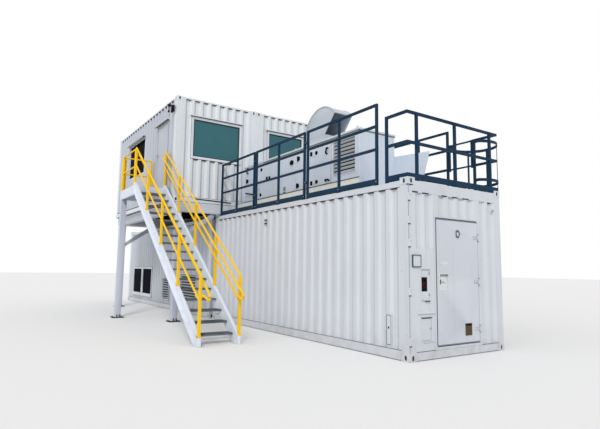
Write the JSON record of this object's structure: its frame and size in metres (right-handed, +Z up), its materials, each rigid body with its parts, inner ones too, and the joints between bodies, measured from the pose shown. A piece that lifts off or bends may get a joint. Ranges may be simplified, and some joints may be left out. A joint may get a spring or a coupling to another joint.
{
  "type": "shipping container cabin",
  "caption": "Stacked white steel container cabin with an outside stair and landing, roof guardrails, a roof equipment housing with a curved discharge hood, and a hinged ground door.",
  "frame": {"origin": "middle of the footprint on the ground", "axes": "+Z up. +Y along the ground containers, from the end with the hinged door to the far end. -X is the side with the stair and landing, +X the side with the cage ladder."},
  "size_m": [5.851, 16.123, 6.052],
  "materials": {
    "white_paint": "satin",
    "unit_white": "satin",
    "pale_grey_paint": "satin",
    "slate_paint": "satin",
    "yellow_paint": "satin",
    "red_paint": "gloss",
    "dark_grating": "matte",
    "steel_fittings": "satin",
    "brown_grille": "matte",
    "black_plastic": "matte",
    "grey_floor": "matte",
    "teal_glass": "gloss",
    "dark_glass": "gloss"
  },
  "bodies": {
    "root": {"front_rails": "white_paint", "front_corner_posts": "white_paint", "front_floor": "grey_floor", "front_roof": "white_paint", "front_left_wall": "white_paint", "front_blank_walls": "white_paint", "end_panel_left": "white_paint", "end_panel_right": "white_paint", "end_panel_over": "white_paint", "front_door_frame": "white_paint", "extinguisher_cabinet": "white_paint", "extinguisher": "red_paint", "end_hatches": "white_paint", "rear_rails": "white_paint", "rear_corner_posts": "white_paint", "rear_floor": "grey_floor", "rear_roof": "white_paint", "rear_left_wall": "white_paint", "rear_blank_walls": "white_paint", "rear_window_frame": "white_paint", "rear_window_glass": "dark_glass", "rear_louvres": "white_paint", "cabin_beams": "white_paint", "cabin_rails": "white_paint", "cabin_corner_posts": "white_paint", "cabin_floor": "grey_floor", "cabin_roof": "white_paint", "cabin_left_wall": "white_paint", "cabin_front_wall": "white_paint", "cabin_blank_walls": "white_paint", "cabin_window_frames": "white_paint", "cabin_glass": "teal_glass", "cabin_side_glass": "dark_glass", "cabin_door": "white_paint", "cabin_rain_hoods": "white_paint", "floodlight": "black_plastic", "stair_stringers": "pale_grey_paint", "stair_treads": "dark_grating", "landing_frame": "pale_grey_paint", "landing_deck": "dark_grating", "support_legs": "pale_grey_paint", "stair_handrails": "yellow_paint", "landing_guard": "yellow_paint", "roof_guard_sides": "slate_paint", "roof_guard_end": "slate_paint", "roof_gate": "slate_paint", "roof_ladder": "slate_paint", "unit_casing": "unit_white", "unit_roof": "unit_white", "unit_louvre": "unit_white", "unit_screen": "unit_white", "discharge_hood": "unit_white"},
    "front_door": {"front_door": "white_paint", "front_door_latch": "steel_fittings", "front_door_vent": "brown_grille"}
  },
  "joints": [
    {"name": "front_door_hinge", "type": "hinge", "parent": "root", "child": "front_door", "pos_m": [1.1385, -8.0475, 1.2325], "axis": [0, 0, 1], "range_deg": [0, 110]}
  ]
}
